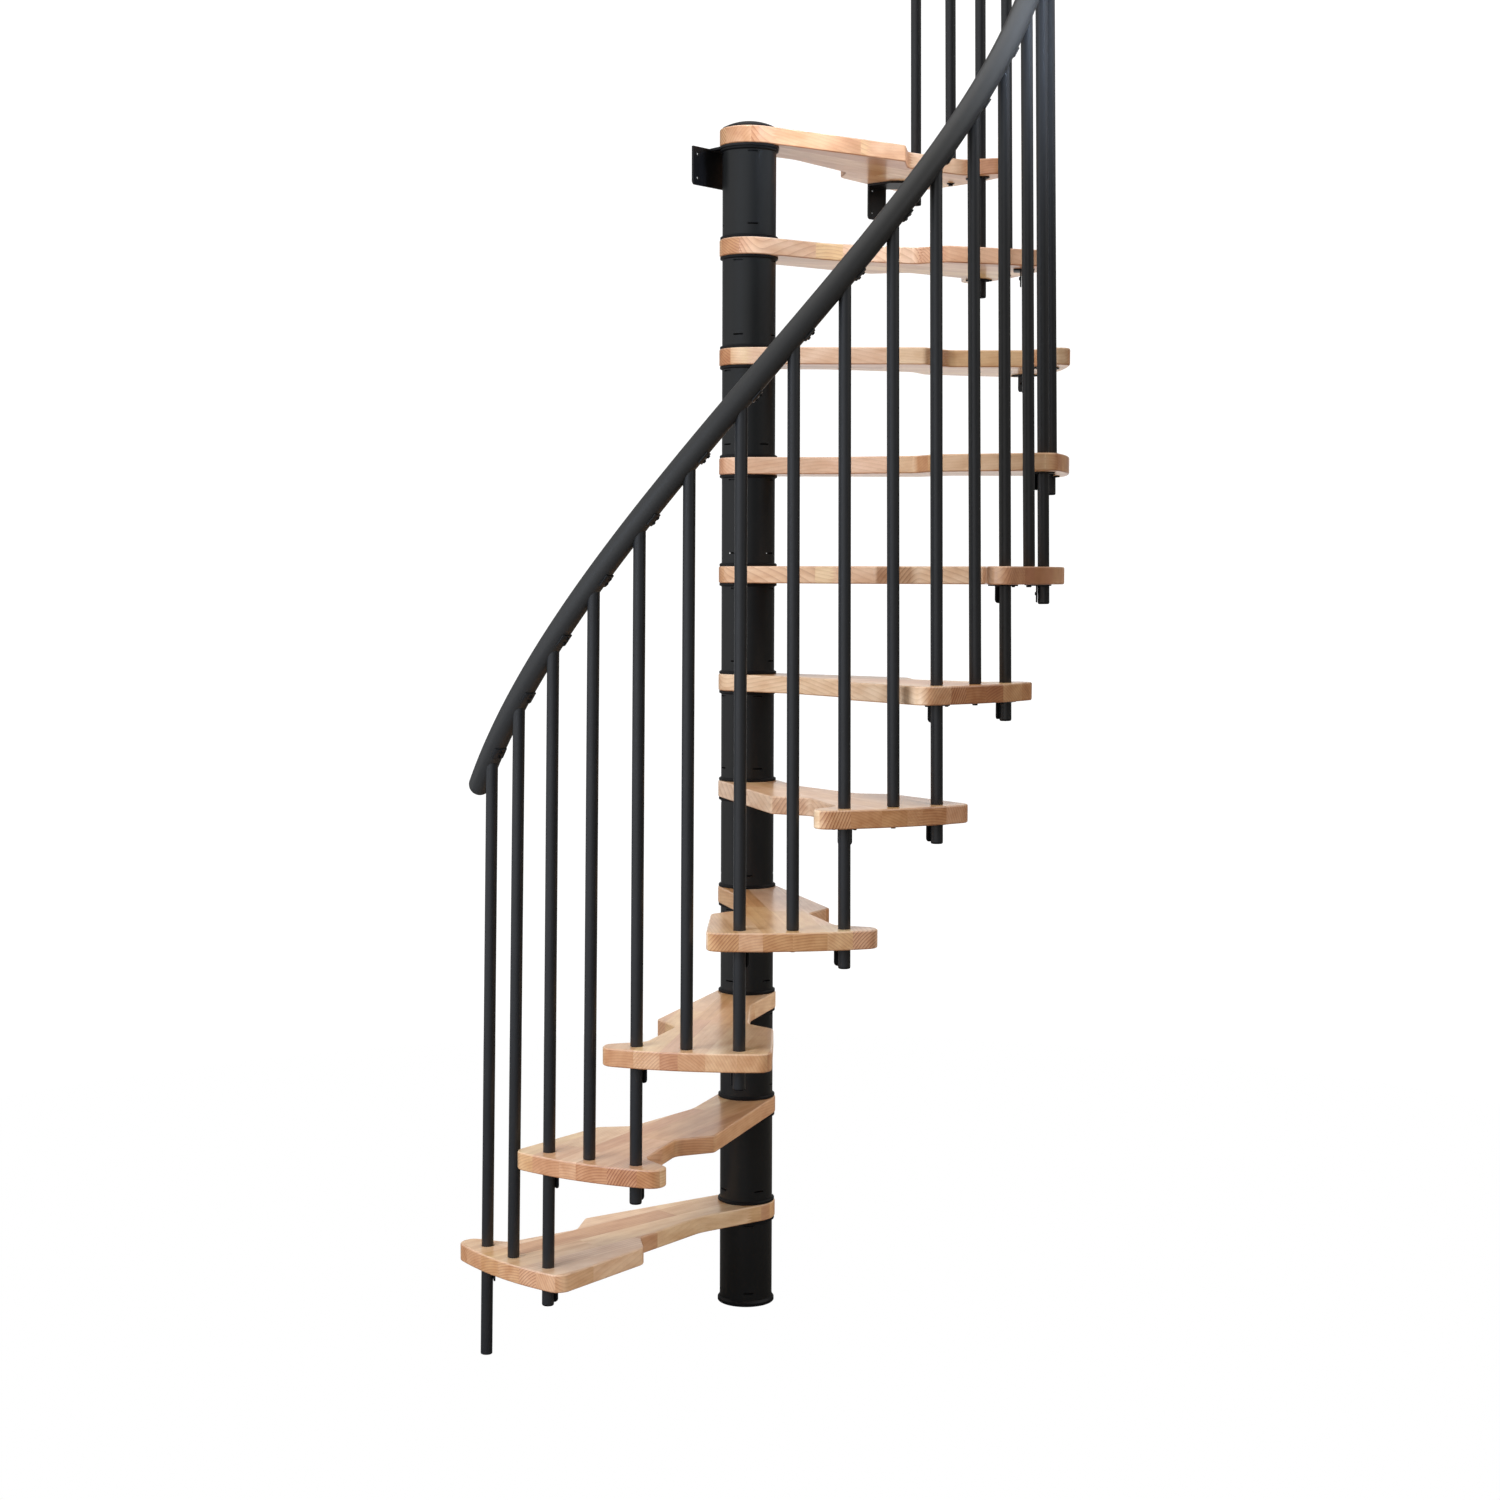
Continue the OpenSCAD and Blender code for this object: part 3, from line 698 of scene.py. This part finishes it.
class STAIR_OT_handrail(bpy.types.Operator):
    """Sweep the round handrail up its helix and round off its ends"""

    bl_idname = "stair.handrail"
    bl_label = "Handrail"

    sides = 40
    steps = 240

    def execute(self, context):
        scene = context.scene
        settings = scene.stair_rail
        first = START - settings.overhang
        last = baluster_heading(BALUSTERS) + settings.overhang
        rail = bmesh.new()
        bmesh.ops.create_circle(rail, cap_ends=True, segments=self.sides, radius=settings.radius,
                                matrix=at_rail(scene, first))
        climb = (rail_height(scene, last) - rail_height(scene, first)) / self.steps
        bmesh.ops.spin(rail, geom=rail.verts[:] + rail.edges[:] + rail.faces[:], cent=(0, 0, 0),
                       axis=(0, 0, 1), dvec=(0, 0, climb), angle=last - first, steps=self.steps,
                       use_merge=False, use_duplicate=False)
        bmesh.ops.recalc_face_normals(rail, faces=rail.faces)
        finish_piece("handrail_sweep", rail, finish("rail"), ["handrail"], 60)

        ends = bmesh.new()
        for turn, way in ((first, -1), (last, 1)):
            half = bmesh.new()
            bmesh.ops.create_uvsphere(half, u_segments=self.sides, v_segments=20,
                                      radius=settings.radius)
            bmesh.ops.bisect_plane(half, geom=half.verts[:] + half.edges[:] + half.faces[:],
                                   plane_co=(0, 0, 0), plane_no=(0, 0, way), clear_inner=True)
            rim = [edge for edge in half.edges if edge.is_boundary]
            bmesh.ops.contextual_create(half, geom=rim)
            bmesh.ops.recalc_face_normals(half, faces=half.faces)
            join(ends, half, at_rail(scene, turn))
            half.free()
        finish_piece("handrail_end_caps", ends, finish("rail"), ["handrail_ends"], 60)
        return {"FINISHED"}


class STAIR_OT_saddles(bpy.types.Operator):
    """Finish the steel saddles under the handrail and add their screws"""

    bl_idname = "stair.saddles"
    bl_label = "Rail saddles"

    screw_places = (14 * MM, 26 * MM)

    def execute(self, context):
        scene = context.scene
        fixings, rail = scene.stair_fixings, scene.stair_rail
        saddles = merged_copy("rail_saddles")
        ease(saddles, corners(saddles, 50), 0.5 * fixings.sheet_edge, 2)
        finish_piece("steel_saddles", saddles, finish("baluster"),
                     ["rail_saddles"])
        head = screw_head(fixings.head_radius, fixings.head_height)
        below = Matrix.Rotation(-math.pi / 2, 4, "X")
        screws = bmesh.new()
        for number in range(1, BALUSTERS + 1):
            for uphill in self.screw_places:
                on_saddle = Matrix.Translation((0, rail.radius + rail.saddle, uphill))
                join(screws, head, at_rail(scene, baluster_heading(number)) @ on_saddle @ below)
        head.free()
        finish_piece("saddle_screws", screws, finish("bolt"))
        return {"FINISHED"}


class STAIR_OT_clamps(bpy.types.Operator):
    """Finish the sheet clamps under the treads and add their screws"""

    bl_idname = "stair.clamps"
    bl_label = "Baluster clamps"

    front_turn = math.radians(147)
    back_turn = math.radians(200)
    sheet = 3 * MM
    tab_screw = 19 * MM

    def place(self, scene, tread, baluster, turn):
        """Place on a baluster at a tread's underside, with X towards the clamp's tab."""
        bar = at_baluster(scene, baluster)
        drop = bar.translation.z - (tread_top(tread) - TREAD_THICK)
        inwards = bar.to_3x3() @ Vector((0, 0, 1))
        spot = bar.translation - inwards * (drop / inwards.z)
        return Matrix.Translation(spot) @ Matrix.Rotation(tread_heading(tread) + turn, 4, "Z")

    def execute(self, context):
        scene = context.scene
        fixings = scene.stair_fixings
        clamps = merged_copy("baluster_clamps")
        ease(clamps, corners(clamps, 50), 0.7 * fixings.sheet_edge, 2)
        finish_piece("sheet_clamps", clamps, finish("bracket"),
                     ["baluster_clamps"])
        head = screw_head(fixings.head_radius, fixings.head_height)
        under = Matrix.Rotation(math.pi, 4, "X")
        outwards = Matrix.Rotation(math.pi / 2, 4, "Y")
        tab_face = scene.stair_balusters.radius + self.sheet + 0.3 * MM
        spots = [(k, 2 * k - 1, self.front_turn) for k in range(1, TREADS + 1)]
        spots += [(k, 2 * k + 1, self.back_turn) for k in range(1, TREADS)]
        screws = bmesh.new()
        for tread, baluster, turn in spots:
            place = self.place(scene, tread, baluster, turn)
            for side in (-1, 1):
                spot = (0, side * fixings.clamp_screw_span, -self.sheet)
                join(screws, head, place @ Matrix.Translation(spot) @ under)
            spot = (tab_face, 0, -self.tab_screw)
            join(screws, head, place @ Matrix.Translation(spot) @ outwards)
        head.free()
        finish_piece("clamp_screws", screws, finish("bolt"))
        return {"FINISHED"}


class STAIR_OT_tread_bolts(bpy.types.Operator):
    """Add the bolt and washer under each middle baluster"""

    bl_idname = "stair.tread_bolts"
    bl_label = "Tread bolts"

    washer = 1.6 * MM
    head = 4 * MM

    def execute(self, context):
        scene = context.scene
        radius = scene.stair_fixings.washer_radius
        bolts = bmesh.new()
        washer = rod(-self.washer, 0, radius, 32, low_ease=0.4 * MM, segments=2)
        head = rod(-self.washer - self.head, -self.washer, 0.6 * radius, 6, low_ease=0.5 * MM)
        for number in range(1, TREADS + 1):
            heading_out = Matrix.Rotation(baluster_heading(2 * number), 4, "Z")
            underside = tread_top(number) - TREAD_THICK
            out = Matrix.Translation((scene.stair_balusters.ring, 0, underside))
            for part in (washer, head):
                join(bolts, part, heading_out @ out)
        washer.free()
        head.free()
        finish_piece("tread_bolts", bolts, finish("bolt"))
        return {"FINISHED"}


class STAIR_OT_landing_brackets(bpy.types.Operator):
    """Finish the brackets that hold the column and the top tread to the upper floor"""

    bl_idname = "stair.landing_brackets"
    bl_label = "Landing brackets"

    def execute(self, context):
        scene = context.scene
        for node in ("column_bracket", "outer_bracket"):
            bracket = merged_copy(node)
            ease(bracket, corners(bracket, 60), scene.stair_fixings.sheet_edge, 2)
            piece = finish_piece(f"coated_{node}", bracket, finish("bracket"),
                                 [node])
            flatten_faces(piece)
        return {"FINISHED"}


class STAIR_OT_studio(bpy.types.Operator):
    """Set up the white studio floor, the soft light and the camera"""

    bl_idname = "stair.studio"
    bl_label = "Studio"

    floor_drop = 1 * MM
    floor_sheen = (0.12, 0.12, 0.12, 1)
    floor_bounce = (0.68, 0.62, 0.56, 1)
    # Name, place, target, width and spread in degrees of each soft box
    lamps = (
        ("key", (-3.1, -3.35, 2.1), (0, -0.2, 1.1), 2.4, 180),
        ("fill", (2.6, 2.6, 1.4), (0, 0, 1), 2.5, 180),
        ("above", (-0.5, -0.8, 12), (0, 0, 1), 6, 180),
        ("upper", (1.15, -1.1, 3.1), (0.28, 0, 2.58), 0.4, 32),
    )

    def floor(self, settings):
        """White paper under the stairs, which shows plain and returns some of the light."""
        bm = bmesh.new()
        bmesh.ops.create_circle(bm, cap_ends=True, segments=96, radius=settings.floor,
                                matrix=Matrix.Translation((0, 0, -self.floor_drop)))
        mesh = bpy.data.meshes.new("studio_floor")
        bm.to_mesh(mesh)
        bm.free()
        material = bpy.data.materials.new("studio_paper")
        material.use_nodes = True
        tree = material.node_tree
        tree.nodes.clear()
        shown = add(tree, "Emission", {"Color": (*settings.paper, 1), "Strength": 1.0})
        path = add(tree, "LightPath")
        # Warm in the light that it returns to the wood, and dim in the sheen of the metal
        paper = add(tree, "Mix", {0: path.outputs["Is Diffuse Ray"], MIX_A: self.floor_sheen,
                                  MIX_B: self.floor_bounce}, data_type="RGBA")
        lit = add(tree, "BsdfDiffuse", {"Color": paper.outputs[MIX_OUT]})
        mix = add(tree, "MixShader", {0: path.outputs["Is Camera Ray"], 1: lit.outputs[0],
                                      2: shown.outputs[0]})
        add(tree, "OutputMaterial", {0: mix.outputs[0]})
        mesh.materials.append(material)
        floor = bpy.data.objects.new("studio_floor", mesh)
        bpy.context.scene.collection.objects.link(floor)

    def background(self, scene, settings):
        """White paper behind the stairs in a room that is lit from the left and from above."""
        world = bpy.data.worlds.new("studio_background")
        scene.world = world
        world.use_nodes = True
        tree = world.node_tree
        tree.nodes.clear()

        smooth = {"interpolation_type": "SMOOTHSTEP"}
        path = add(tree, "LightPath")
        direction = add(tree, "TexCoord").outputs["Generated"]
        x, y, z = add(tree, "SeparateXYZ", {0: direction}).outputs[:3]
        # A wall of windows on the left, whose light fades out right of the camera
        facing = add(tree, "VectorMath", {0: direction, 1: (-0.57, -0.82, 0.0)},
                     operation="DOT_PRODUCT").outputs["Value"]
        windows = add(tree, "MapRange", {0: facing, 1: -0.3, 2: 0.9, 3: 0.1,
                                         4: settings.windows}, **smooth)
        fade = add(tree, "MapRange", {0: x, 1: 0.5, 2: -0.35, 3: 0.0, 4: 1.0}, **smooth)
        windows = add(tree, "Math", {0: windows, 1: fade}, operation="MULTIPLY")
        fade = add(tree, "MapRange", {0: z, 1: 0.2, 2: 0.8, 3: 1.0, 4: 0.4}, **smooth)
        windows = add(tree, "Math", {0: windows, 1: fade, 2: settings.dusk},
                      operation="MULTIPLY_ADD")
        # Pale wall behind the stairs
        wall = add(tree, "MapRange", {0: y, 1: 0.93, 2: 0.985, 3: 0.0, 4: settings.wall},
                   **smooth)
        # High window on the right
        towards = add(tree, "VectorMath", {0: direction, 1: (0.9, -0.25, 0.34)},
                      operation="DOT_PRODUCT").outputs["Value"]
        high = add(tree, "MapRange", {0: towards, 1: 0.75, 2: 0.94, 3: 0.0,
                                      4: settings.window}, **smooth)
        fade = add(tree, "MapRange", {0: z, 1: 0.06, 2: 0.2, 3: 0.0, 4: 1.0}, **smooth)
        high = add(tree, "Math", {0: high, 1: fade, 2: wall}, operation="MULTIPLY_ADD")
        # Soft box overhead, for the sheen on edges and on the handrail
        box = add(tree, "MapRange", {0: z, 1: 0.5, 2: 0.95, 3: 0.05, 4: settings.overhead},
                  **smooth)
        box = add(tree, "Math", {0: box, 1: path.outputs["Is Glossy Ray"], 2: windows},
                  operation="MULTIPLY_ADD")
        room = add(tree, "Math", {0: high, 1: box}, operation="ADD")
        lit = add(tree, "Background", {"Color": (*settings.paper, 1), "Strength": room})
        shown = add(tree, "Background", {"Color": (*settings.paper, 1), "Strength": 1.1})
        mix = add(tree, "MixShader", {0: path.outputs["Is Camera Ray"], 1: lit.outputs[0],
                                      2: shown.outputs[0]})
        add(tree, "OutputWorld", {0: mix.outputs[0]})

    def light(self, name, place, target, width, spread, power, tint):
        """A soft box that faces a target, and doesn't show as a patch on shiny parts."""
        data = bpy.data.lights.new(name, "AREA")
        data.shape = "SQUARE"
        data.size, data.energy, data.spread = width, power, math.radians(spread)
        data.color = tint
        lamp = bpy.data.objects.new(name, data)
        lamp.location = place
        lamp.rotation_euler = (Vector(target) - Vector(place)).to_track_quat("-Z", "Y").to_euler()
        lamp.visible_camera = False
        lamp.visible_glossy = False
        bpy.context.scene.collection.objects.link(lamp)

    def camera(self, scene, settings):
        """The camera, level with the middle of the stairs."""
        data = bpy.data.cameras.new("studio_camera")
        data.lens, data.sensor_width = settings.lens, 36
        data.clip_start, data.clip_end = 0.1, 200
        camera = bpy.data.objects.new("studio_camera", data)
        camera.matrix_world = (
            Matrix.Translation((0, -settings.distance, settings.height))
            @ Matrix.Rotation(-settings.yaw, 4, "Z")
            @ Matrix.Rotation(math.pi / 2 + settings.pitch, 4, "X")
            @ Matrix.Rotation(settings.roll, 4, "Z"))
        scene.collection.objects.link(camera)
        scene.camera = camera

    def execute(self, context):
        scene = context.scene
        settings = scene.stair_studio
        scene.view_settings.view_transform = "Standard"
        self.floor(settings)
        self.background(scene, settings)
        tints = {"key": settings.key_tint, "fill": settings.fill_tint,
                 "above": settings.above_tint, "upper": settings.key_tint}
        for name, place, target, width, spread in self.lamps:
            self.light(name, place, target, width, spread, getattr(settings, name), tints[name])
        self.camera(scene, settings)
        return {"FINISHED"}


PIECES = (
    STAIR_OT_treads, STAIR_OT_column, STAIR_OT_balusters, STAIR_OT_plugs, STAIR_OT_handrail,
    STAIR_OT_saddles, STAIR_OT_clamps, STAIR_OT_tread_bolts, STAIR_OT_landing_brackets,
    STAIR_OT_studio)


class STAIR_PT_sidebar(bpy.types.Panel):
    """Lists the pieces of the staircase"""

    bl_idname = "STAIR_PT_sidebar"
    bl_label = "Winding Staircase"
    bl_space_type = "VIEW_3D"
    bl_region_type = "UI"
    bl_category = "Staircase"

    def draw(self, context):
        for operator in PIECES:
            self.layout.operator(operator.bl_idname)
        for group in GROUPS:
            box = self.layout.box()
            settings = getattr(context.scene, group)
            for name in settings.bl_rna.properties.keys():
                if name not in ("rna_type", "name"):
                    box.prop(settings, name)


def register():
    for cls in (*GROUPS.values(), *PIECES, STAIR_PT_sidebar):
        bpy.utils.register_class(cls)
    for name, group in GROUPS.items():
        setattr(bpy.types.Scene, name, PointerProperty(type=group))


def unregister():
    for name in GROUPS:
        delattr(bpy.types.Scene, name)
    for cls in reversed((*GROUPS.values(), *PIECES, STAIR_PT_sidebar)):
        bpy.utils.unregister_class(cls)


def main():
    """Builds every piece in order."""
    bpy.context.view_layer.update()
    register()
    for operator in PIECES:
        name = operator.bl_idname.split(".")[1]
        getattr(bpy.ops.stair, name)()


if __name__ == "__main__":
    main()
